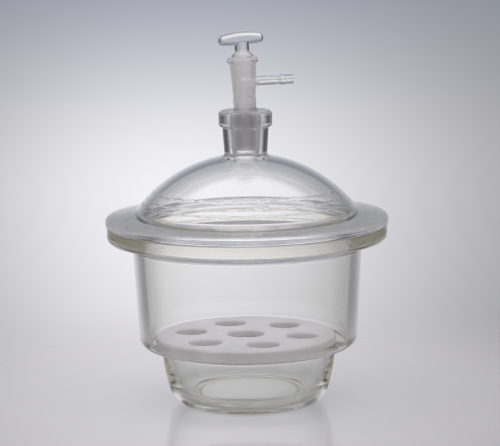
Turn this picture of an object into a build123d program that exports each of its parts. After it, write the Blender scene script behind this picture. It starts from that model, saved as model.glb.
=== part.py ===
from build123d import *
from math import acos, cos, degrees, radians, sin, sqrt
import os

# Glass vacuum desiccator, 200 mm size. Millimetres, +Z up, origin at the centre of the foot.
# Five pieces come apart by hand: base vessel, plate, lid, stopcock barrel and stopcock plug.
# Every outline below is drawn as radius and height, then turned about the upright axis.

# Base vessel
foot_ring_inner = 50.0      # the glass stands on a flat ring outside this radius
foot_recess = 1.5           # the underside is lifted this much inside the ring
foot_radius = 71.2          # corner of foot and bowl wall, before rounding
foot_round = 19.0
foot_recess_slope = 2.0     # width of the slope from the flat ring up to the lifted underside
bowl_bulge = (80.5, 32.0)   # outside of the bowl at mid height
waist = (83.3, 53.0)        # outside, where bowl and chamber meet
waist_round = 2.5
floor_height = 7.5          # inside floor of the bowl
floor_radius = 61.0         # inside corner of the floor, before rounding
floor_round = 22.0
bowl_inner_bulge = (72.4, 36.0)
shoulder_radius = 93.9      # centre of the shoulder's round
shoulder_height = 66.0
shoulder_round = 10.5
ledge_height = 59.5         # the plate rests here
ledge_inner = 76.6
ledge_round = 2.5           # inner edge of the ledge
ledge_corner_round = 1.0    # where the ledge meets the chamber wall
chamber_inner = 94.1        # inside radius at the ledge
mouth_inner = 100.4         # inside radius at the ground flange
mouth_round = 1.5
wall_top = (109.6, 154.5)   # outside, where the chamber wall meets the flange
wall_top_round = 7.0
base_flange_radius = 133.6
base_flange_low = 159.3     # underside of the flange at its rim
base_flange_low_round = 4.5
ground_edge_round = 1.0     # outer edge of the base's ground face
seal_height = 172.5         # the ground faces of base and lid meet here

# Perforated plate
plate_radius = 86.5
plate_thickness = 7.5
plate_round = 2.4
plate_shift = -2.3          # the loose plate lies this far along X in its play
centre_hole_radius = 17.5
ring_hole_radius = 14.6
ring_hole_circle = 55.0     # radius of the circle that the outer holes stand on
ring_hole_count = 6
ring_hole_start = -13.5     # degrees from +X

# Lid
lid_flange_radius = 135.0
lid_flange_rim = 180.4      # top of the flange at its rim, before rounding
lid_rim_round = 4.0
lid_low_round = 2.6         # outer edge of the lid's ground face
dome_radius = 131.6         # outside of the dome
dome_thickness = 6.8
dome_centre = 108.2         # height of the dome's centre
dome_foot_radius = 105.5    # where the dome leaves the flange
dome_foot_fillet = 5.0
neck_radius = 20.3          # outside, at the dome
neck_foot_fillet = 3.5
neck_top_radius = 22.2      # outside, just under the bead
neck_bead_radius = 25.5
neck_bead_low = 265.8
neck_bead_slope = 1.0       # height of the slope under the bead
neck_bead_fillet = 1.5      # where the slope starts
neck_bead_low_round = 2.2
neck_bead_top_round = 3.8
neck_top = 281.5
socket_mouth_round = 1.2
socket_foot_round = 5.0     # inside the dome

# Ground joints: both taper 1 in 10 on the diameter
taper = 0.05                # change of radius for each millimetre of height
ground_gap = 0.05           # radial running gap
cone_wide_radius = 11.4
cone_top = 282.5
cone_bottom = 244.5
cone_bottom_round = 0.9
cone_top_round = 0.8
cone_shoulder_height = 3.6  # from the cone's top up to the barrel
plug_wide_radius = 8.95
plug_wide_height = 331.0
plug_bottom = 288.0
plug_bottom_round = 0.8

# Stopcock barrel and its hose arm. Barrel, arm and plug lean a little, as hand-fused glass does.
barrel_lean = 2.2           # degrees, away from the arm
lean_height = 283.5         # where the leaning barrel is fused to its upright cone
gas_passage_radius = 6.3    # through the cone
bore_foot_radius = 6.6      # below the plug, just wider than the passage
bore_foot_depth = 2.0       # how far the bore's foot reaches down into the passage
seat_bottom = 286.5         # lower end of the ground bore for the plug
seat_slope = 0.6            # height of the slope under the ground bore
barrel_top = 331.8
barrel_bead_radius = 14.9
barrel_bead_low = 325.6
barrel_bead_fillet = 1.0
barrel_mouth_wide = 0.4     # how much wider the bead's top is than its foot
barrel_mouth_round = 0.8
barrel_wide_radius = 12.75  # just under the bead
barrel_low_radius = 10.5
barrel_seam_height = 7.0    # middle of the slight swelling at the seam, above the cone's top
barrel_seam_swell = 0.45
barrel_seam_top = 11.5
arm_height = 308.5
arm_start = 9.0             # inside the barrel's wall
arm_end = 47.0              # open end of the arm, from the axis
arm_radius = 4.6
arm_flare_radius = 6.8      # where the arm is fused to the barrel
arm_flare_length = 5.0
arm_flare_waist = (1.8, 0.9)  # middle of the flare, along the arm and out from its surface
arm_groove_radius = 4.1
arm_bead_radius = 5.25
arm_groove_start = 28.4     # along the arm, from the axis
arm_bead_start = 34.6
arm_bead_end = 38.6
arm_bead_nip = 0.2          # the glass is drawn in this much beside the bead
arm_bead_run = 0.6          # length of the slope from the bead out to the plain end
arm_groove_fillet = 1.5
arm_end_round = 0.9
arm_bore_radius = 1.5

# Stopcock plug
cap_low = 332.3             # underside of the plug's shoulder
cap_radius = 10.4
stem_radius = 6.75
stem_low = 337.3
stem_foot_fillet = 1.6
cap_edge_height = 1.4
cap_low_round = 0.5
cap_top_round = 0.8
handle_half_length = 23.0
handle_shift = -1.2         # the bar is fused a little off centre
handle_thickness = 9.4
handle_low = 343.4
handle_top = 355.7
handle_low_rise = 1.2       # the bar's underside rises this much to its ends
handle_top_fall = 2.6       # and its top falls this much
handle_round = 3.9
plug_hollow_radius = 3.9
plug_hollow_top = 313.0
plug_hollow_crown = 4.0     # height of the hollow's round top
plug_hollow_round = 0.6
plug_port_radius = 1.4
handle_turn = 25.0          # degrees from the arm to the handle at rest, port closed


def outline(start, *steps):
    # Closed outline. A step is an end point, or the middle and end points of an arc.
    edges = []
    here = start
    for step in steps:
        if isinstance(step[0], tuple):
            edges.append(ThreePointArc(here, step[0], step[1]))
            here = step[1]
        else:
            edges.append(Line(here, step))
            here = step
    if here != start:
        edges.append(Line(here, start))
    return make_face(edges)


def rounded(face, *corners):
    # Round corners of an outline. Each is a corner's place and the radius of its round.
    for place, radius in corners:
        corner = face.vertices().sort_by_distance((place[0], place[1], 0))[0]
        face = fillet(corner, radius)
    return face


def turned(face):
    return revolve(Plane.XZ * face, Axis.Z)


def reach_angle(radius, reach):
    # Degrees above level at which a sphere of this radius is this far from the upright axis
    return degrees(acos(reach / radius))


def on_dome(radius, angle):
    return (radius * cos(radians(angle)), dome_centre + radius * sin(radians(angle)))


def cone_radius(height):
    return cone_wide_radius - taper * (cone_top - height)


def plug_radius(height):
    return plug_wide_radius - taper * (plug_wide_height - height)


def base_vessel():
    # Bowl for the drying agent, ledge for the plate, chamber and ground flange: one piece of glass
    shoulder_start = (shoulder_radius, shoulder_height - shoulder_round)
    shoulder_middle = (
        shoulder_radius + shoulder_round * sqrt(0.5),
        shoulder_height - shoulder_round * sqrt(0.5),
    )
    shoulder_end = (shoulder_radius + shoulder_round, shoulder_height)
    face = outline(
        (0, foot_recess),
        (foot_ring_inner - foot_recess_slope, foot_recess),
        (foot_ring_inner, 0),
        (foot_radius, 0),
        (bowl_bulge, waist),
        shoulder_start,
        (shoulder_middle, shoulder_end),
        wall_top,
        (base_flange_radius, base_flange_low),
        (base_flange_radius, seal_height),
        (mouth_inner, seal_height),
        (chamber_inner, ledge_height),
        (ledge_inner, ledge_height),
        (bowl_inner_bulge, (floor_radius, floor_height)),
        (0, floor_height),
    )
    face = rounded(
        face,
        ((foot_radius, 0), foot_round),
        (waist, waist_round),
        (wall_top, wall_top_round),
        ((base_flange_radius, base_flange_low), base_flange_low_round),
        ((base_flange_radius, seal_height), ground_edge_round),
        ((mouth_inner, seal_height), mouth_round),
        ((chamber_inner, ledge_height), ledge_corner_round),
        ((ledge_inner, ledge_height), ledge_round),
        ((floor_radius, floor_height), floor_round),
    )
    return turned(face)


def porcelain_plate():
    # Flat disc with a centre hole and a ring of holes, every edge rounded
    ring = PolarLocations(ring_hole_circle, ring_hole_count, start_angle=ring_hole_start)
    sketch = Circle(plate_radius) - Circle(centre_hole_radius) - ring * Circle(ring_hole_radius)
    disc = extrude(sketch, plate_thickness)
    disc = fillet(disc.edges(), plate_round)
    return Pos(plate_shift, 0, ledge_height) * disc


def lid_dome():
    # Ground flange, dome and thick neck with a ground socket: one piece of glass
    inner_radius = dome_radius - dome_thickness
    socket_foot_height = dome_centre + sqrt(inner_radius**2 - cone_radius(cone_bottom) ** 2)
    socket_foot_radius = cone_radius(socket_foot_height) + ground_gap
    socket_mouth_radius = cone_radius(neck_top) + ground_gap
    mouth_radius = sqrt(inner_radius**2 - (seal_height - dome_centre) ** 2)
    foot_angle = reach_angle(dome_radius, dome_foot_radius)
    neck_angle = reach_angle(dome_radius, neck_radius)
    inner_high_angle = reach_angle(inner_radius, socket_foot_radius)
    inner_low_angle = reach_angle(inner_radius, mouth_radius)
    socket_foot = on_dome(inner_radius, inner_high_angle)
    face = outline(
        (mouth_radius, seal_height),
        (lid_flange_radius, seal_height),
        (lid_flange_radius, lid_flange_rim),
        on_dome(dome_radius, foot_angle),
        (on_dome(dome_radius, (foot_angle + neck_angle) / 2), on_dome(dome_radius, neck_angle)),
        (neck_top_radius, neck_bead_low),
        (neck_bead_radius, neck_bead_low + neck_bead_slope),
        (neck_bead_radius, neck_top),
        (socket_mouth_radius, neck_top),
        socket_foot,
        (on_dome(inner_radius, (inner_high_angle + inner_low_angle) / 2), (mouth_radius, seal_height)),
    )
    face = rounded(
        face,
        ((mouth_radius, seal_height), mouth_round),
        ((lid_flange_radius, seal_height), lid_low_round),
        ((lid_flange_radius, lid_flange_rim), lid_rim_round),
        (on_dome(dome_radius, foot_angle), dome_foot_fillet),
        (on_dome(dome_radius, neck_angle), neck_foot_fillet),
        ((neck_top_radius, neck_bead_low), neck_bead_fillet),
        ((neck_bead_radius, neck_bead_low + neck_bead_slope), neck_bead_low_round),
        ((neck_bead_radius, neck_top), neck_bead_top_round),
        ((socket_mouth_radius, neck_top), socket_mouth_round),
        (socket_foot, socket_foot_round),
    )
    return turned(face)


def hose_arm():
    # Arm with a flared root, a groove, a bead and a plain end that the hose slides over
    flare_middle = (arm_start + arm_flare_waist[0], arm_radius + arm_flare_waist[1])
    groove_middle = ((arm_groove_start + arm_bead_start) / 2, arm_groove_radius)
    bead_middle = ((arm_bead_start + arm_bead_end) / 2, arm_bead_radius)
    face = outline(
        (arm_start, 0),
        (arm_start, arm_flare_radius),
        (flare_middle, (arm_start + arm_flare_length, arm_radius)),
        (arm_groove_start, arm_radius),
        (groove_middle, (arm_bead_start, arm_radius - arm_bead_nip)),
        (bead_middle, (arm_bead_end, arm_radius - arm_bead_nip)),
        (arm_bead_end + arm_bead_run, arm_radius),
        (arm_end, arm_radius),
        (arm_end, 0),
    )
    face = rounded(
        face,
        ((arm_groove_start, arm_radius), arm_groove_fillet),
        ((arm_end, arm_radius), arm_end_round),
    )
    return Pos(0, 0, arm_height) * revolve(face, Axis.X)


def leaning(shape):
    return Pos(0, 0, lean_height) * Rot(0, -barrel_lean, 0) * Pos(0, 0, -lean_height) * shape


def ground_cone():
    # Outside of the cone, with a short shoulder that the barrel is fused to
    shoulder_top = cone_top + cone_shoulder_height
    face = outline(
        (0, cone_bottom),
        (cone_radius(cone_bottom), cone_bottom),
        (cone_wide_radius, cone_top),
        (barrel_low_radius - 1, shoulder_top),
        (0, shoulder_top),
    )
    face = rounded(
        face,
        ((cone_radius(cone_bottom), cone_bottom), cone_bottom_round),
        ((cone_wide_radius, cone_top), cone_top_round),
    )
    return turned(face)


def barrel_body():
    # Outside of the barrel: slight swelling at the fused seam, taper, and top bead
    bead_foot = barrel_wide_radius
    bead_middle = (barrel_bead_radius, (barrel_bead_low + barrel_top) / 2)
    bead_top = (barrel_wide_radius + barrel_mouth_wide, barrel_top)
    seam_middle = (barrel_low_radius + barrel_seam_swell, cone_top + barrel_seam_height)
    root_radius = barrel_low_radius - 0.1  # just inside the swelling
    face = outline(
        (0, lean_height),
        (root_radius, lean_height),
        (root_radius, cone_top + cone_shoulder_height - 1),
        (seam_middle, (barrel_low_radius, cone_top + barrel_seam_top)),
        (bead_foot, barrel_bead_low),
        (bead_middle, bead_top),
        (0, barrel_top),
    )
    face = rounded(face, ((bead_foot, barrel_bead_low), barrel_bead_fillet), (bead_top, barrel_mouth_round))
    return turned(face)


def barrel_bore():
    # Gas passage and the ground bore that the plug turns in
    low = plug_radius(seat_bottom) + ground_gap
    high = plug_radius(barrel_top + 1) + ground_gap
    face = outline(
        (0, lean_height - bore_foot_depth),
        (bore_foot_radius - 1, lean_height - bore_foot_depth),
        (bore_foot_radius, lean_height + 1),
        (bore_foot_radius, seat_bottom - seat_slope),
        (low, seat_bottom),
        (high, barrel_top + 1),
        (0, barrel_top + 1),
    )
    return turned(face)


def stopcock_barrel():
    # Ground cone, tapered barrel with a top bead, and the hose arm, fused into one piece of glass
    passage_length = lean_height - cone_bottom + 2
    upright = Align.CENTER, Align.CENTER, Align.MIN
    cone_passage = Pos(0, 0, cone_bottom - 1) * Cylinder(gas_passage_radius, passage_length, align=upright)
    arm_bore = Pos(0, 0, arm_height) * Rot(0, 90, 0) * Cylinder(arm_bore_radius, arm_end + 1, align=upright)
    outside = ground_cone() + leaning(barrel_body() + hose_arm())
    return outside - cone_passage - leaning(barrel_bore()) - leaning(arm_bore)


def handle():
    # T handle: a bar with a crowned top, slimmer towards its ends, every edge well rounded
    end_low = handle_low + handle_low_rise
    end_high = handle_top - handle_top_fall
    side = outline(
        (-handle_half_length, end_low),
        ((0, handle_low), (handle_half_length, end_low)),
        (handle_half_length, end_high),
        ((0, handle_top), (-handle_half_length, end_high)),
    )
    side = fillet(side.vertices(), handle_round)
    bar = extrude(Plane.XZ * side, handle_thickness / 2, both=True)
    bar = fillet(bar.faces().filter_by(Axis.Y).edges(), handle_round)
    return Pos(handle_shift, 0, 0) * bar


def stopcock_plug():
    # Ground taper with a hollow foot and a side port, shoulder, stem and T handle: one piece of glass
    hollow_shoulder = (
        plug_hollow_radius * sqrt(0.5),
        plug_hollow_top - plug_hollow_crown * (1 - sqrt(0.5)),
    )
    inside_handle = (handle_low + handle_top) / 2 - 3
    face = outline(
        (plug_hollow_radius, plug_bottom),
        (plug_radius(plug_bottom), plug_bottom),
        (plug_radius(cap_low), cap_low),
        (cap_radius, cap_low),
        (cap_radius, cap_low + cap_edge_height),
        (stem_radius, stem_low),
        (stem_radius, inside_handle),
        (0, inside_handle),
        (0, plug_hollow_top),
        (hollow_shoulder, (plug_hollow_radius, plug_hollow_top - plug_hollow_crown)),
    )
    face = rounded(
        face,
        ((plug_hollow_radius, plug_bottom), plug_hollow_round),
        ((plug_radius(plug_bottom), plug_bottom), plug_bottom_round),
        ((cap_radius, cap_low), cap_low_round),
        ((cap_radius, cap_low + cap_edge_height), cap_top_round),
        ((stem_radius, stem_low), stem_foot_fillet),
    )
    port = Pos(0, 0, arm_height) * Rot(0, 90, 0) * Cylinder(
        plug_port_radius, cap_radius, align=(Align.CENTER, Align.CENTER, Align.MIN)
    )
    plug = turned(face) - port + handle()
    return leaning(Rot(0, 0, handle_turn) * plug)


os.makedirs("parts", exist_ok=True)
export_step(base_vessel(), "parts/base_vessel.step")
export_step(porcelain_plate(), "parts/porcelain_plate.step")
export_step(lid_dome(), "parts/lid_dome.step")
export_step(stopcock_barrel(), "parts/stopcock_barrel.step")
export_step(stopcock_plug(), "parts/stopcock_plug.step")
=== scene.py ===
import math

import bpy
import numpy as np
from mathutils import Matrix, Vector


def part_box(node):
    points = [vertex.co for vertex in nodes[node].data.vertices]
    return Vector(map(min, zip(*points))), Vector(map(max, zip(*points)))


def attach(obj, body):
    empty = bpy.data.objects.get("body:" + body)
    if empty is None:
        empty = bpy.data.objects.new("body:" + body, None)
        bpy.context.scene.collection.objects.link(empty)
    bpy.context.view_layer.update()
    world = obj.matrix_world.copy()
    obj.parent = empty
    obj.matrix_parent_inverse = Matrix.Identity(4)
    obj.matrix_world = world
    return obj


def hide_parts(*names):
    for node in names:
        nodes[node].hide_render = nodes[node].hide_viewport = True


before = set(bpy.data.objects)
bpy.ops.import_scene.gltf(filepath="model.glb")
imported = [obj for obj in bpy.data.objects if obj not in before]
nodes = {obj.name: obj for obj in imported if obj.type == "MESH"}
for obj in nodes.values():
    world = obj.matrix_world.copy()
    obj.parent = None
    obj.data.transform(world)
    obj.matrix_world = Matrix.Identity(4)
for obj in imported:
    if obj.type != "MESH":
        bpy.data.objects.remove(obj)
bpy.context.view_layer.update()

mm = 0.001
touch = 0.02  # mm, how near a point is to a face that it lies on

camera = {
    "lens": 187.2,  # on a 36 mm sensor
    "place": (0.0, -2.448, 0.567),
    "tilt": 9.14,  # degrees down
    "turn": 0.07,
    "roll": 0.85,
}


def makeCamera():
    data = bpy.data.cameras.new("benchCamera")
    data.lens = camera["lens"]
    data.sensor_width = 36
    data.dof.use_dof = False
    data.clip_end = 50
    cam = bpy.data.objects.new("benchCamera", data)
    turn = Matrix.Rotation(math.radians(-camera["turn"]), 4, "Z")
    tilt = Matrix.Rotation(math.radians(90 - camera["tilt"]), 4, "X")
    roll = Matrix.Rotation(math.radians(-camera["roll"]), 4, "Z")
    cam.matrix_world = Matrix.Translation(camera["place"]) @ turn @ tilt @ roll
    bpy.context.scene.collection.objects.link(cam)
    bpy.context.scene.camera = cam


makeCamera()
print("camera placed")

# Outlines are lists of (radius, height, round), in mm. An arc is given as
# ((radius and height of a point on it), (radius, height, round) of its end)


def arcPoints(start, middle, end, step):
    (ax, ay), (bx, by), (cx, cy) = start, middle, end
    area = 2 * (ax * (by - cy) + bx * (cy - ay) + cx * (ay - by))
    a, b, c = ax * ax + ay * ay, bx * bx + by * by, cx * cx + cy * cy
    ox = (a * (by - cy) + b * (cy - ay) + c * (ay - by)) / area
    oy = (a * (cx - bx) + b * (ax - cx) + c * (bx - ax)) / area
    first = math.atan2(ay - oy, ax - ox)
    half = (math.atan2(by - oy, bx - ox) - first + math.pi) % (2 * math.pi) - math.pi
    rest = (math.atan2(cy - oy, cx - ox) - first - half + math.pi) % (2 * math.pi) - math.pi
    sweep = half + rest
    radius = math.hypot(ax - ox, ay - oy)
    count = max(4, math.ceil(abs(sweep) * radius / step))
    angles = [first + sweep * k / count for k in range(1, count + 1)]
    return [(ox + radius * math.cos(t), oy + radius * math.sin(t)) for t in angles]


def along(path, lengths, s):
    # point and direction at distance s along a path
    k = int(np.clip(np.searchsorted(lengths, s, side="right") - 1, 0, len(path) - 2))
    run = path[k + 1] - path[k]
    size = np.linalg.norm(run)
    return path[k] + run * (s - lengths[k]) / size, run / size


def drawOutline(steps, step=2.5, roundCount=7, arcStep=0.8):
    # turns the steps into a fine path with its corners rounded
    path, rounds = [], {}
    for item in steps:
        if isinstance(item[0], tuple):
            middle, (r, z, corner) = item
            path += arcPoints(path[-1], middle, (r, z), arcStep)
        else:
            r, z, corner = item
            path.append((r, z))
        if corner:
            rounds[len(path) - 1] = corner
    path = np.array(path, float)
    lengths = np.concatenate([[0], np.cumsum(np.linalg.norm(np.diff(path, axis=0), axis=1))])
    soft, here = [path[0]], 0.0
    marks = sorted(rounds)
    for k in [*marks, None]:
        if k is None:
            stop = lengths[-1]
        else:
            into, out = path[k] - path[k - 1], path[k + 1] - path[k]
            into, out = into / np.linalg.norm(into), out / np.linalg.norm(out)
            bend = math.acos(np.clip(into @ out, -1, 1))
            cut = rounds[k] * math.tan(bend / 2)
            stop = lengths[k] - cut
        # the run up to this corner, with a tight row beside each round so that flats stay flat
        inside = [s for s in lengths if here + 1e-6 < s < stop - 1e-6]
        edge = 0.3 if stop - here > 2 else 0
        knots = sorted({here + edge, *inside, stop - edge, stop})
        last = here
        for s in knots:
            if s - last < 1e-6:
                continue
            count = max(1, math.ceil((s - last) / step))
            soft += [along(path, lengths, last + (s - last) * j / count)[0] for j in range(1, count + 1)]
            last = s
        if k is None:
            break
        a, dirA = along(path, lengths, stop)
        b, dirB = along(path, lengths, lengths[k] + cut)
        reach = rounds[k] * 4 / 3 * math.tan(math.acos(np.clip(dirA @ dirB, -1, 1)) / 4)
        for j in range(1, roundCount + 1):
            t = j / roundCount
            soft.append(
                (1 - t) ** 3 * a + 3 * t * (1 - t) ** 2 * (a + dirA * reach)
                + 3 * t * t * (1 - t) * (b - dirB * reach) + t**3 * b
            )
        here = lengths[k] + cut
    return np.array(soft)


def turnMesh(name, outline, count, closed, ground, swell=None):
    # turns an outline in mm about the upright axis; ground(radius, height) picks the matt faces
    keep = np.concatenate([[True], np.linalg.norm(np.diff(outline, axis=0), axis=1) > 1e-4])
    outline = outline[keep]
    if closed and np.linalg.norm(outline[0] - outline[-1]) < 1e-3:
        outline = outline[:-1]
    rows = len(outline)
    angles = np.arange(count) * 2 * np.pi / count
    before, after = np.roll(outline, 1, 0), np.roll(outline, -1, 0)
    if not closed:
        before[0], after[-1] = outline[0], outline[-1]
    tangent = after - before
    tangent /= np.linalg.norm(tangent, axis=1, keepdims=True)
    normal = np.stack([tangent[:, 1], -tangent[:, 0]], 1)  # outwards, for an outline drawn anticlockwise
    r = np.repeat(outline[:, :1], count, 1)
    z = np.repeat(outline[:, 1:], count, 1)
    if swell is not None:
        out = swell(r, z, angles[None, :].repeat(rows, 0))
        r = r + out * normal[:, :1]
        z = z + out * normal[:, 1:]
    points, index = [], np.zeros((rows, count), int)
    for j in range(rows):
        if outline[j, 0] < 1e-6:
            index[j] = len(points)
            points.append((0.0, 0.0, z[j, 0] * mm))
        else:
            index[j] = len(points) + np.arange(count)
            xs, ys = r[j] * np.cos(angles), r[j] * np.sin(angles)
            points += list(zip(xs * mm, ys * mm, z[j] * mm))
    faces, matt = [], []
    for j in range(rows if closed else rows - 1):
        k = (j + 1) % rows
        mid = (outline[j] + outline[k]) / 2
        isMatt = int(ground(mid[0], mid[1]))
        for i in range(count):
            n = (i + 1) % count
            a, b, c, d = index[j, i], index[j, n], index[k, n], index[k, i]
            if a == b:
                faces.append((a, c, d))
            elif c == d:
                faces.append((a, b, c))
            else:
                faces.append((a, b, c, d))
            matt.append(isMatt)
    mesh = bpy.data.meshes.new(name)
    mesh.from_pydata(points, [], faces)
    mesh.polygons.foreach_set("material_index", matt)
    mesh.shade_smooth()
    mesh.validate()
    piece = bpy.data.objects.new(name, mesh)
    bpy.context.scene.collection.objects.link(piece)
    return piece


def addNode(tree, kind, **values):
    node = tree.nodes.new(kind)
    for key, value in values.items():
        if key in node.inputs:
            node.inputs[key].default_value = value
        else:
            setattr(node, key, value)
    return node


def startMaterial(name):
    material = bpy.data.materials.new(name)
    material.use_nodes = True
    material.node_tree.nodes.clear()
    return material, material.node_tree, material.node_tree.links


def mathNode(tree, operation, *values):
    node = addNode(tree, "ShaderNodeMath", operation=operation)
    for k, value in enumerate(values):
        if isinstance(value, (int, float)):
            node.inputs[k].default_value = value
        else:
            tree.links.new(value, node.inputs[k])
    return node.outputs[0]


# Clear soda-lime glass: olive only where it is very thick, with slight cords in the surface
clearGlass = {
    "ior": 1.51,
    "tint": (0.80, 0.80, 0.60, 1),
    "tintDensity": 6.0,
    "through": (0.96, 0.97, 0.965, 1),  # light that reaches what stands inside
    "cordScale": 26.0,
    "cordDepth": 0.00006,
    "smudgeScale": 9.0,
    "smudge": 0.012,  # roughness where a smudge is thickest
    "smudgeRange": (0.45, 0.75),
}


def letLightThrough(tree, links, surface, colour, output):
    # the room's soft light reaches what stands inside the glass
    rays = addNode(tree, "ShaderNodeLightPath")
    either = addNode(tree, "ShaderNodeMath", operation="MAXIMUM")
    links.new(rays.outputs["Is Shadow Ray"], either.inputs[0])
    links.new(rays.outputs["Is Diffuse Ray"], either.inputs[1])
    clearWay = addNode(tree, "ShaderNodeBsdfTransparent")
    clearWay.inputs["Color"].default_value = colour
    mix = addNode(tree, "ShaderNodeMixShader")
    links.new(either.outputs[0], mix.inputs[0])
    links.new(surface, mix.inputs[1])
    links.new(clearWay.outputs[0], mix.inputs[2])
    links.new(mix.outputs[0], output.inputs["Surface"])


def makeClearGlass(name, spec):
    material, tree, links = startMaterial(name)
    output = addNode(tree, "ShaderNodeOutputMaterial")
    shader = addNode(tree, "ShaderNodeBsdfPrincipled")
    shader.inputs["Base Color"].default_value = (1, 1, 1, 1)
    shader.inputs["IOR"].default_value = spec["ior"]
    shader.inputs["Transmission Weight"].default_value = 1
    place = addNode(tree, "ShaderNodeTexCoord")
    cords = addNode(tree, "ShaderNodeTexNoise", Scale=spec["cordScale"], Detail=2.0)
    links.new(place.outputs["Object"], cords.inputs["Vector"])
    bump = addNode(tree, "ShaderNodeBump", Strength=1.0, Distance=spec["cordDepth"])
    links.new(cords.outputs["Fac"], bump.inputs["Height"])
    links.new(bump.outputs["Normal"], shader.inputs["Normal"])
    smudges = addNode(tree, "ShaderNodeTexNoise", Scale=spec["smudgeScale"], Detail=5.0)
    links.new(place.outputs["Object"], smudges.inputs["Vector"])
    spread = addNode(tree, "ShaderNodeMapRange")
    spread.inputs["From Min"].default_value, spread.inputs["From Max"].default_value = spec["smudgeRange"]
    spread.inputs["To Max"].default_value = spec["smudge"]
    links.new(smudges.outputs["Fac"], spread.inputs["Value"])
    links.new(spread.outputs["Result"], shader.inputs["Roughness"])
    inside = addNode(tree, "ShaderNodeVolumeAbsorption")
    inside.inputs["Color"].default_value = spec["tint"]
    inside.inputs["Density"].default_value = spec["tintDensity"]
    links.new(inside.outputs[0], output.inputs["Volume"])
    letLightThrough(tree, links, shader.outputs[0], spec["through"], output)
    return material


# Ground matt glass on the sealing faces and tapers
groundGlass = {
    "colour": (0.94, 0.905, 0.915, 1),
    "roughness": (0.30, 0.44),
    "patchScale": 60.0,
    "grainScale": 2600.0,
    "grainDepth": 0.00002,
    "through": (0.75, 0.75, 0.76, 1),
    "transmission": 0.86,
}


def addMatt(tree, place, spec, clear, patchScale):
    # matt shader whose roughness changes a little from patch to patch
    shader = addNode(tree, "ShaderNodeBsdfPrincipled")
    shader.inputs["Base Color"].default_value = spec["colour"]
    shader.inputs["IOR"].default_value = clear["ior"]
    shader.inputs["Transmission Weight"].default_value = spec["transmission"]
    patches = addNode(tree, "ShaderNodeTexNoise", Scale=patchScale, Detail=4.0)
    tree.links.new(place.outputs["Object"], patches.inputs["Vector"])
    spread = addNode(tree, "ShaderNodeMapRange")
    spread.inputs["To Min"].default_value, spread.inputs["To Max"].default_value = spec["roughness"]
    tree.links.new(patches.outputs["Fac"], spread.inputs["Value"])
    tree.links.new(spread.outputs["Result"], shader.inputs["Roughness"])
    return shader


def makeGroundGlass(name, spec, clear):
    material, tree, links = startMaterial(name)
    output = addNode(tree, "ShaderNodeOutputMaterial")
    place = addNode(tree, "ShaderNodeTexCoord")
    shader = addMatt(tree, place, spec, clear, spec["patchScale"])
    grain = addNode(tree, "ShaderNodeTexNoise", Scale=spec["grainScale"], Detail=3.0)
    links.new(place.outputs["Object"], grain.inputs["Vector"])
    bump = addNode(tree, "ShaderNodeBump", Strength=1.0, Distance=spec["grainDepth"])
    links.new(grain.outputs["Fac"], bump.inputs["Height"])
    links.new(bump.outputs["Normal"], shader.inputs["Normal"])
    inside = addNode(tree, "ShaderNodeVolumeAbsorption")
    inside.inputs["Color"].default_value = clear["tint"]
    inside.inputs["Density"].default_value = clear["tintDensity"]
    links.new(inside.outputs[0], output.inputs["Volume"])
    letLightThrough(tree, links, shader.outputs[0], spec["through"], output)
    return material


lidSpec = {
    **clearGlass, "tint": (0.84, 0.85, 0.86, 1), "tintDensity": 7.0,
    "cordScale": 14.0, "cordDepth": 0.00004,
}
vesselClear = makeClearGlass("vesselClearGlass", clearGlass)
vesselGround = makeGroundGlass("groundGlass", groundGlass, clearGlass)
lidClear = makeClearGlass("lidClearGlass", lidSpec)
lidGround = makeGroundGlass("lidGroundGlass", groundGlass, lidSpec)
print("glass mixed")

# Base vessel: sizes in mm, with a pair for (radius, height) and the corner rounds from the foot up
vessel = {
    "footRing": 50.0, "recess": 1.5, "recessSlope": 2.0, "footRadius": 71.2, "bowlBulge": (80.5, 32.0),
    "waist": (83.3, 53.0), "shoulder": (93.9, 66.0, 10.5), "wallTop": (109.6, 154.5),
    "flangeRadius": 133.6, "flangeLow": 159.3, "gap": 0.05, "mouth": 100.4, "chamberFoot": 94.1,
    "ledge": 59.5, "ledgeInner": 76.6, "innerBulge": (72.4, 36.0), "floorRadius": 61.0, "floor": 7.5,
    "recessRound": 3, "footRound": 19, "waistRound": 2.5, "wallRound": 7, "flangeRound": 4.5,
    "sealRound": 1.0, "mouthRound": 1.5, "cornerRound": 1.0, "ledgeRound": 2.5, "floorRound": 22,
    "segments": 320,
}


def makeVessel(v):
    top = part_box("base_vessel")[1].z / mm - v["gap"]
    reach, height, bend = v["shoulder"]
    half = bend * math.sqrt(0.5)
    outline = drawOutline([
        (0, v["recess"], 0),
        (v["footRing"] - v["recessSlope"], v["recess"], v["recessRound"]),
        (v["footRing"], 0, v["recessRound"]),
        (v["footRadius"], 0, v["footRound"]),
        (v["bowlBulge"], (*v["waist"], v["waistRound"])),
        (reach, height - bend, 0),
        ((reach + half, height - half), (reach + bend, height, 0)),
        (*v["wallTop"], v["wallRound"]),
        (v["flangeRadius"], v["flangeLow"], v["flangeRound"]),
        (v["flangeRadius"], top, v["sealRound"]),
        (v["mouth"], top, v["mouthRound"]),
        (v["chamberFoot"], v["ledge"], v["cornerRound"]),
        (v["ledgeInner"], v["ledge"], v["ledgeRound"]),
        (v["innerBulge"], (v["floorRadius"], v["floor"], v["floorRound"])),
        (0, v["floor"], 0),
    ])

    def isSeal(r, z):
        return z > top - touch and r > v["mouth"]

    piece = turnMesh("vesselGlass", outline, v["segments"], False, isSeal)
    piece.data.materials.append(vesselClear)
    piece.data.materials.append(vesselGround)
    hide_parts("base_vessel")
    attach(piece, "base")


makeVessel(vessel)
print("vessel turned")

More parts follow.
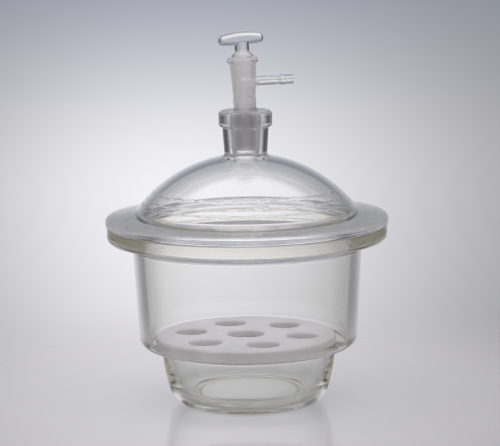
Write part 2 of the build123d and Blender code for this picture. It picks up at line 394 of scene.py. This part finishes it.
# Lid: sizes in mm, heights above the table
lid = {
    "flangeRadius": 135.0, "rim": 180.4, "domeRadius": 131.6, "thickness": 6.8, "domeCentre": 108.2,
    "domeFoot": 105.5, "neck": 20.3, "neckTop": 22.2, "beadRadius": 25.5, "beadLow": 265.8, "beadRise": 1.0,
    "top": 281.5, "socketWide": 11.4, "socketTop": 282.5, "socketLow": 234.0, "coneBottom": 244.5,
    "taper": 0.05, "fit": 0.05, "gap": 0.05,
    "sealRound": 2.6, "rimRound": 4.0, "domeFootRound": 5.0, "neckFootRound": 3.5, "neckTopRound": 1.5,
    "beadLowRound": 2.2, "beadTopRound": 3.8, "socketMouthRound": 1.2, "socketFootRound": 5.0,
    "mouthRound": 1.5,
    # rows of the mesh up the dome: each spacing in radians holds up to its height
    "rows": [(208, 0.0031), (228, 0.0075), (math.inf, 0.02)], "rowsShortOfNeck": 0.06, "segments": 540,
}

# Wavering lines where the molten glass first touched the mould:
# height, depth, width, waver and slant, all in mm
chillLines = [
    (194.2, 0.34, 0.50, 0.34, 0.6),
    (199.2, 0.16, 0.45, 0.34, 0.9),
    (205.8, 0.20, 0.60, 0.46, 1.1),
    (217.8, 0.012, 0.8, 0.10, 1.6),
    (222.5, 0.010, 0.8, 0.10, -1.9),
]


# A small wrinkled patch low on the front of the dome
wrinkle = {
    "angle": -1.42, "height": 203.0, "depth": 0.10,  # radians from +X, and mm
    "halfAngle": 0.05, "halfHeight": 3.0,
}
chillSeed = 7
waveCounts = (5, 11, 19, 29, 43, 61, 83, 107)  # waves round the dome
waveFall = 0.28  # how fast the finer waves get smaller
backShare = 0.04  # what is left of the relief on the back


def chillRelief(z, angle, line, seed):
    height, depth, width, waver, slant = line
    wave = sum(
        math.cos(seed * n + n * n) / n**waveFall * np.sin(n * angle + seed * n * n)
        for n in waveCounts
    )
    # each line grows and fades on its way round
    fade = 0.62 + 0.38 * np.sin(4 * angle + seed) * np.sin(11 * angle - seed)
    fade = fade + 0.25 * np.sin(37 * angle + 3 * seed)
    middle = height + waver * wave + slant * np.cos(angle + seed * 0.1)
    return depth * fade * np.exp(-(((z - middle) / width) ** 2))


def wrinkleRelief(z, angle, w):
    sideways = (angle - 2 * np.pi - w["angle"]) / w["halfAngle"]
    upward = (z - w["height"]) / w["halfHeight"]
    patch = np.exp(-(sideways**2)) * np.exp(-(upward**2))
    return w["depth"] * patch * np.sin(z * 3.1 + 40 * angle) * np.sin(90 * angle - z)


def makeSwell(v):
    # how far the outside of the dome stands out, in mm
    seeds = np.random.default_rng(chillSeed).uniform(0, 9, len(chillLines))

    def swell(r, z, angle):
        onDome = np.abs(np.hypot(r, z - v["domeCentre"]) - v["domeRadius"]) < touch
        out = np.zeros_like(z)
        for line, seed in zip(chillLines, seeds):
            out += chillRelief(z, angle, line, seed)
        out += wrinkleRelief(z, angle, wrinkle)
        front = np.clip(0.75 - 1.25 * np.sin(angle), 0, 1)  # strongest towards -Y
        out *= backShare + (1 - backShare) * front
        return np.where(onDome, out, 0)

    return swell


def makeLid(v):
    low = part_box("lid_dome")[0].z / mm + v["gap"]
    outer, inner, centre = v["domeRadius"], v["domeRadius"] - v["thickness"], v["domeCentre"]

    def onDome(radius, reach):
        return (reach, centre + math.sqrt(radius**2 - reach**2))

    def onDomeAt(radius, angle):
        return (radius * math.cos(angle), centre + radius * math.sin(angle))

    def socketAt(height):
        return v["socketWide"] - v["taper"] * (v["socketTop"] - height) + v["fit"]

    footAngle, neckAngle = math.acos(v["domeFoot"] / outer), math.acos(v["neck"] / outer)
    socketFoot = onDome(inner, socketAt(v["socketLow"]))
    mouth = math.sqrt(inner**2 - (low - centre) ** 2)
    highAngle, lowAngle = math.acos(socketFoot[0] / inner), math.acos(mouth / inner)
    socketMouth = socketAt(v["top"])
    # tight rows where the chill lines lie, wide ones above
    domeRows, turn = [], footAngle
    while turn < neckAngle - v["rowsShortOfNeck"]:
        height = onDomeAt(outer, turn)[1]
        turn += next(step for limit, step in v["rows"] if height < limit)
        domeRows.append(turn)
    start = ((mouth + v["flangeRadius"]) / 2, low, 0)
    outline = drawOutline([
        start,
        (v["flangeRadius"], low, v["sealRound"]),
        (v["flangeRadius"], v["rim"], v["rimRound"]),
        (*onDomeAt(outer, footAngle), v["domeFootRound"]),
        *[(*onDomeAt(outer, turn), 0) for turn in domeRows],
        (*onDomeAt(outer, neckAngle), v["neckFootRound"]),
        (v["neckTop"], v["beadLow"], v["neckTopRound"]),
        (v["beadRadius"], v["beadLow"] + v["beadRise"], v["beadLowRound"]),
        (v["beadRadius"], v["top"], v["beadTopRound"]),
        (socketMouth, v["top"], v["socketMouthRound"]),
        (*socketFoot, v["socketFootRound"]),
        (onDomeAt(inner, (highAngle + lowAngle) / 2), (mouth, low, v["mouthRound"])),
        start,
    ], arcStep=3.0)

    def isGround(r, z):
        # the sealing face, and the socket where the cone stands in it
        onSeal = z < low + touch and r > mouth
        inSocket = r < socketMouth + touch and v["coneBottom"] < z < v["top"] - 1
        return onSeal or inSocket

    piece = turnMesh("lidGlass", outline, v["segments"], True, isGround, makeSwell(v))
    piece.data.materials.append(lidClear)
    piece.data.materials.append(lidGround)
    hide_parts("lid_dome")
    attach(piece, "lid")


makeLid(lid)
print("lid turned")

# Stopcock: clear outside, ground matt where its two tapers run; millimetres, heights from the lean point
stopcock = {
    "lean": 2.2, "leanHeight": 283.5, "patchScale": 90.0,
    "bore": {"inner": 5.9, "outer": 14.7, "low": 0.5, "high": 48.6},
    "taper": {"inner": 5.9, "outer": 9.9, "low": 4.0, "high": 48.0},
    "cone": {"inner": 8.2, "outer": 12.5, "low": -39.5, "high": -0.9},
}
stopcockSpec = {**clearGlass, "tint": (0.84, 0.84, 0.84, 1), "tintDensity": 6.0}


def zoneMask(tree, node, lean, zone):
    # 1 where a point lies between two radii and two heights about an axis that leans
    links = tree.links
    place = addNode(tree, "ShaderNodeTexCoord")
    shift = addNode(tree, "ShaderNodeVectorMath", operation="ADD")
    leanPoint = Vector((0, 0, stopcock["leanHeight"] * mm))
    shift.inputs[1].default_value = node.matrix_world.translation - leanPoint
    links.new(place.outputs["Object"], shift.inputs[0])
    axis = (-math.sin(lean), 0, math.cos(lean))
    across = addNode(tree, "ShaderNodeVectorMath", operation="CROSS_PRODUCT")
    across.inputs[1].default_value = axis
    links.new(shift.outputs[0], across.inputs[0])
    reach = addNode(tree, "ShaderNodeVectorMath", operation="LENGTH")
    links.new(across.outputs[0], reach.inputs[0])
    height = addNode(tree, "ShaderNodeVectorMath", operation="DOT_PRODUCT")
    height.inputs[1].default_value = axis
    links.new(shift.outputs[0], height.inputs[0])
    tests = [
        mathNode(tree, "GREATER_THAN", reach.outputs["Value"], zone["inner"] * mm),
        mathNode(tree, "LESS_THAN", reach.outputs["Value"], zone["outer"] * mm),
        mathNode(tree, "GREATER_THAN", height.outputs["Value"], zone["low"] * mm),
        mathNode(tree, "LESS_THAN", height.outputs["Value"], zone["high"] * mm),
    ]
    mask = tests[0]
    for test in tests[1:]:
        mask = mathNode(tree, "MULTIPLY", mask, test)
    return mask


def makeStopcockGlass(name, node, zones):
    # clear glass with the zones ground matt
    material = makeClearGlass(name, stopcockSpec)
    tree = material.node_tree
    links = tree.links
    clear = next(n for n in tree.nodes if n.type == "BSDF_PRINCIPLED")
    place = addNode(tree, "ShaderNodeTexCoord")
    matt = addMatt(tree, place, groundGlass, stopcockSpec, stopcock["patchScale"])
    mask = zoneMask(tree, node, math.radians(zones[0][0]), zones[0][1])
    for lean, zone in zones[1:]:
        mask = mathNode(tree, "MAXIMUM", mask, zoneMask(tree, node, math.radians(lean), zone))
    mix = addNode(tree, "ShaderNodeMixShader")
    target = clear.outputs[0].links[0].to_socket
    links.new(mask, mix.inputs[0])
    links.new(clear.outputs[0], mix.inputs[1])
    links.new(matt.outputs[0], mix.inputs[2])
    links.new(mix.outputs[0], target)
    return material


barrelZones = [(stopcock["lean"], stopcock["bore"]), (0, stopcock["cone"])]
plugZones = [(stopcock["lean"], stopcock["taper"])]
for name, zones in (("stopcock_barrel", barrelZones), ("stopcock_plug", plugZones)):
    nodes[name].data.materials.clear()
    nodes[name].data.materials.append(makeStopcockGlass(name + "Glass", nodes[name], zones))
print("stopcock frosted")

# White glazed porcelain
porcelain = {
    "white": (0.70, 0.662, 0.686, 1),
    "shade": (0.61, 0.59, 0.60, 1),
    "cloudScale": 34.0,
    "cloudRange": (0.35, 0.62),
    "roughness": 0.32,
    "coat": 0.5,
    "coatRoughness": 0.12,
    "peelScale": 160.0,  # orange peel in the glaze
    "peelDepth": 0.00005,
}


def makePorcelain(spec):
    material, tree, links = startMaterial("whitePorcelain")
    output = addNode(tree, "ShaderNodeOutputMaterial")
    shader = addNode(tree, "ShaderNodeBsdfPrincipled")
    shader.inputs["Roughness"].default_value = spec["roughness"]
    shader.inputs["Coat Weight"].default_value = spec["coat"]
    shader.inputs["Coat Roughness"].default_value = spec["coatRoughness"]
    place = addNode(tree, "ShaderNodeTexCoord")
    cloud = addNode(tree, "ShaderNodeTexNoise", Scale=spec["cloudScale"], Detail=4.0)
    links.new(place.outputs["Object"], cloud.inputs["Vector"])
    ramp = addNode(tree, "ShaderNodeValToRGB")
    stops = ramp.color_ramp.elements
    stops[0].position, stops[1].position = spec["cloudRange"]
    stops[0].color, stops[1].color = spec["shade"], spec["white"]
    links.new(cloud.outputs["Fac"], ramp.inputs["Fac"])
    links.new(ramp.outputs["Color"], shader.inputs["Base Color"])
    peel = addNode(tree, "ShaderNodeTexNoise", Scale=spec["peelScale"], Detail=2.0)
    links.new(place.outputs["Object"], peel.inputs["Vector"])
    bump = addNode(tree, "ShaderNodeBump", Strength=1.0, Distance=spec["peelDepth"])
    links.new(peel.outputs["Fac"], bump.inputs["Height"])
    links.new(bump.outputs["Normal"], shader.inputs["Normal"])
    links.new(shader.outputs[0], output.inputs["Surface"])
    return material


nodes["porcelain_plate"].data.materials.clear()
nodes["porcelain_plate"].data.materials.append(makePorcelain(porcelain))
print("plate glazed")

# Studio: glossy pale floor that fades into a soft backdrop
studio = {
    "floorRings": [0.1, 0.2, 0.3, 0.45, 0.6],  # metres
    "floorCount": 96,
    "floorDrop": 0.0002,
    "floorColour": (0.66, 0.65, 0.67, 1),
    "floorRoughness": 0.045,
    "floorShine": 0.9,
    "floorShare": 0.74,  # how much of the backdrop the floor covers near the foot
    "floorFade": (0.18, 0.55),  # metres from the middle, where the fade starts and ends
    "paperDistance": 0.62,  # metres behind the object
    "paperSize": (2.0, -0.75, 1.35),  # half width, bottom and top
    "paperEnds": (0.40, 0.62),  # metres sideways, where the ends of the paper change
    "endsPaintedShade": 0.85,  # how much painted shade darkens the ends up high
    "paintedShadeFrom": (0.10, 0.20),  # heights between which that painted shade sets in
    "endsPale": 0.28,  # how bright the painted light on the ends is down at the table
    "paintedLightFrom": (0.16, 0.07),
    # a pool of light painted into the paper's glow: its middle, its reach on each side and its brightness
    "paintedPoolCentre": (-0.076, 0.108),  # metres, sideways and up
    "paintedPoolSize": (0.215, 0.249, 0.144, 0.238),  # left, right, above and below the centre
    "paintedPoolBright": 0.88,
    "lowTone": (0.18, (1.012, 1.0, 1.045, 1)),  # height, and the colour of the paper's painted glow up to it
    "highTone": (0.34, (0.955, 1.0, 1.14, 1)),
    "around": 0.24,
    # the room's light by direction: where each share starts and ends as a unit vector's height, and how much
    "level": (-0.06, 0.05, 0.24),
    "above": (0.10, 0.42, 0.30),
    "overhead": (0.6, 0.9, 0.85),
    "underneath": (-0.10, -0.20, 0.42),
    "aside": (0.08, -0.05, 0.72),  # how much darker it is below level height
    "asideTurn": (0.92, 0.62, 1.0),  # and how far that spares the way straight back
    "roomColour": (1.0, 0.985, 1.005, 1),
    "bounces": 28,
    "seeThrough": 16,
}


def makeFloor(s):
    mesh = bpy.data.meshes.new("benchFloor")
    rings, count = s["floorRings"], s["floorCount"]
    turns = [2 * math.pi * i / count for i in range(count)]
    points, faces = [(0, 0, 0)], []
    for r in rings:
        points += [(r * math.cos(turn), r * math.sin(turn), 0) for turn in turns]
    for i in range(count):
        faces.append((0, 1 + i, 1 + (i + 1) % count))
        for k in range(len(rings) - 1):
            a = 1 + k * count
            faces.append((a + i, a + count + i, a + count + (i + 1) % count, a + (i + 1) % count))
    mesh.from_pydata(points, [], faces)
    floor = bpy.data.objects.new("benchFloor", mesh)
    floor.location.z = -s["floorDrop"]
    bpy.context.scene.collection.objects.link(floor)
    material, tree, links = startMaterial("paleFloor")
    output = addNode(tree, "ShaderNodeOutputMaterial")
    shader = addNode(tree, "ShaderNodeBsdfPrincipled")
    shader.inputs["Base Color"].default_value = s["floorColour"]
    shader.inputs["Roughness"].default_value = s["floorRoughness"]
    shader.inputs["Specular IOR Level"].default_value = s["floorShine"]
    place = addNode(tree, "ShaderNodeTexCoord")
    reach = addNode(tree, "ShaderNodeVectorMath", operation="LENGTH")
    links.new(place.outputs["Object"], reach.inputs[0])
    fade = addNode(tree, "ShaderNodeMapRange", interpolation_type="SMOOTHERSTEP")
    fade.inputs["From Min"].default_value, fade.inputs["From Max"].default_value = s["floorFade"]
    fade.inputs["To Min"].default_value = 1 - s["floorShare"]
    links.new(reach.outputs["Value"], fade.inputs["Value"])
    clearWay = addNode(tree, "ShaderNodeBsdfTransparent")
    mix = addNode(tree, "ShaderNodeMixShader")
    links.new(fade.outputs["Result"], mix.inputs[0])
    links.new(shader.outputs[0], mix.inputs[1])
    links.new(clearWay.outputs[0], mix.inputs[2])
    links.new(mix.outputs[0], output.inputs["Surface"])
    mesh.materials.append(material)


def rampNode(tree, value, start, stop, amount, kind="SMOOTHSTEP"):
    # 0 at start, rising to amount at stop
    node = addNode(tree, "ShaderNodeMapRange", interpolation_type=kind)
    node.inputs["From Min"].default_value = start
    node.inputs["From Max"].default_value = stop
    node.inputs["To Max"].default_value = amount
    tree.links.new(value, node.inputs["Value"])
    return node.outputs["Result"]


def makePaper(s):
    # backdrop paper that glows though it is no lamp, with a painted pool of light, a painted glow colour
    # that changes with height, painted shade on its ends up high and painted light on them low down; seen
    # from behind it is open
    half, low, high = s["paperSize"]
    mesh = bpy.data.meshes.new("backdropPaper")
    corners = [(-half, 0, low), (half, 0, low), (half, 0, high), (-half, 0, high)]
    mesh.from_pydata(corners, [], [(0, 1, 2, 3)])
    paper = bpy.data.objects.new("backdropPaper", mesh)
    paper.location.y = s["paperDistance"]
    bpy.context.scene.collection.objects.link(paper)
    material, tree, links = startMaterial("backdropPaper")
    mesh.materials.append(material)
    output = addNode(tree, "ShaderNodeOutputMaterial")
    place = addNode(tree, "ShaderNodeTexCoord")
    split = addNode(tree, "ShaderNodeSeparateXYZ")
    links.new(place.outputs["Object"], split.inputs[0])
    x, y, z = split.outputs
    # the painted pool of light, brightest at its middle and falling off towards the edges
    left, right, up, down = s["paintedPoolSize"]
    dx = mathNode(tree, "SUBTRACT", x, s["paintedPoolCentre"][0])
    dz = mathNode(tree, "SUBTRACT", z, s["paintedPoolCentre"][1])
    parts = [
        mathNode(tree, "DIVIDE", mathNode(tree, "MINIMUM", dx, 0.0), left),
        mathNode(tree, "DIVIDE", mathNode(tree, "MAXIMUM", dx, 0.0), right),
        mathNode(tree, "DIVIDE", mathNode(tree, "MAXIMUM", dz, 0.0), up),
        mathNode(tree, "DIVIDE", mathNode(tree, "MINIMUM", dz, 0.0), down),
    ]
    total = mathNode(tree, "MULTIPLY", parts[0], parts[0])
    for part in parts[1:]:
        total = mathNode(tree, "ADD", total, mathNode(tree, "MULTIPLY", part, part))
    pool = mathNode(tree, "EXPONENT", mathNode(tree, "MULTIPLY", total, -0.5))
    pool = mathNode(tree, "MULTIPLY", pool, s["paintedPoolBright"] - s["around"])
    bright = mathNode(tree, "ADD", pool, s["around"])
    # painted shade on the ends up high, which draws the edges of the neck, and painted light that keeps them
    # pale at the table
    aside = mathNode(tree, "ABSOLUTE", x, 0.0)
    dark = rampNode(tree, aside, *s["paperEnds"], s["endsPaintedShade"])
    dark = mathNode(tree, "MULTIPLY", dark, rampNode(tree, z, *s["paintedShadeFrom"], 1.0))
    bright = mathNode(tree, "MULTIPLY", bright, mathNode(tree, "SUBTRACT", 1.0, dark))
    pale = rampNode(tree, aside, *s["paperEnds"], s["endsPale"])
    pale = mathNode(tree, "MULTIPLY", pale, rampNode(tree, z, *s["paintedLightFrom"], 1.0))
    bright = mathNode(tree, "MAXIMUM", bright, pale)
    # colour of the painted glow, bluer higher up
    tone = addNode(tree, "ShaderNodeValToRGB")
    stops = tone.color_ramp.elements
    stops[0].position, stops[0].color = s["lowTone"]
    stops[1].position, stops[1].color = s["highTone"]
    links.new(z, tone.inputs["Fac"])
    glow = addNode(tree, "ShaderNodeEmission")
    links.new(bright, glow.inputs["Strength"])
    links.new(tone.outputs["Color"], glow.inputs["Color"])
    side = addNode(tree, "ShaderNodeNewGeometry")
    clearWay = addNode(tree, "ShaderNodeBsdfTransparent")
    mix = addNode(tree, "ShaderNodeMixShader")
    links.new(side.outputs["Backfacing"], mix.inputs[0])
    links.new(glow.outputs[0], mix.inputs[1])
    links.new(clearWay.outputs[0], mix.inputs[2])
    links.new(mix.outputs[0], output.inputs["Surface"])


def makeRoom(s):
    # the room's own soft light, from every direction
    world = bpy.data.worlds.new("softRoom")
    bpy.context.scene.world = world
    world.use_nodes = True
    tree = world.node_tree
    tree.nodes.clear()
    links = tree.links
    output = tree.nodes.new("ShaderNodeOutputWorld")
    back = tree.nodes.new("ShaderNodeBackground")
    links.new(back.outputs[0], output.inputs["Surface"])
    place = tree.nodes.new("ShaderNodeTexCoord")
    split = tree.nodes.new("ShaderNodeSeparateXYZ")
    links.new(place.outputs["Generated"], split.inputs[0])
    x, y, z = split.outputs
    # soft box overhead, paler walls from level height up
    bright = mathNode(tree, "ADD", rampNode(tree, z, *s["above"]), s["around"])
    bright = mathNode(tree, "ADD", bright, rampNode(tree, z, *s["overhead"]))
    bright = mathNode(tree, "ADD", bright, rampNode(tree, z, *s["level"]))
    # darker to the sides, and the pale table shows below the horizon
    aside = mathNode(tree, "MULTIPLY", rampNode(tree, y, *s["asideTurn"]), rampNode(tree, z, *s["aside"]))
    bright = mathNode(tree, "MULTIPLY", bright, mathNode(tree, "SUBTRACT", 1.0, aside))
    bright = mathNode(tree, "MAXIMUM", bright, rampNode(tree, z, *s["underneath"]))
    links.new(bright, back.inputs["Strength"])
    back.inputs["Color"].default_value = s["roomColour"]


makeFloor(studio)
makePaper(studio)
makeRoom(studio)
scene = bpy.context.scene
scene.view_settings.view_transform = "Standard"
scene.cycles.max_bounces = studio["bounces"]
scene.cycles.transmission_bounces = studio["bounces"]
scene.cycles.glossy_bounces = studio["bounces"]  # so light guided inside the glass comes out again
scene.cycles.transparent_max_bounces = studio["seeThrough"]
print("studio lit")
